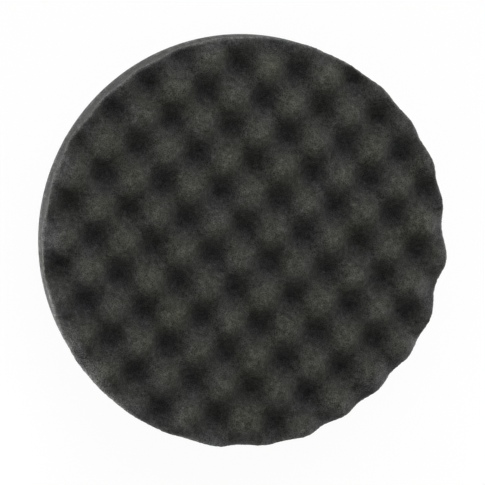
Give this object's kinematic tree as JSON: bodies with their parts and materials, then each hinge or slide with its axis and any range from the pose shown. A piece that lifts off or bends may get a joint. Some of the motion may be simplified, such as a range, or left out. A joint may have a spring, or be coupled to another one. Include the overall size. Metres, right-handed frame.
{
  "type": "polishing pad",
  "caption": "Round open-cell foam polishing pad with a convoluted waffle working face and a full-width hook-and-loop fabric back.",
  "frame": {"origin": "centre of the flat loop-fabric back, where the pad rests and where a backing plate grips it", "axes": "+Z out of the waffle working face along the pad's round axis, +X along the rows of the waffle, +Y across the rows"},
  "size_m": [0.2032, 0.2032, 0.0286],
  "materials": {
    "foam": "matte",
    "film": "satin",
    "knit": "matte",
    "loops": "matte"
  },
  "bodies": {
    "root": {"foam_disc": "foam", "bonding_film": "film", "loop_ground": "knit", "loop_pile": "loops"}
  },
  "joints": []
}
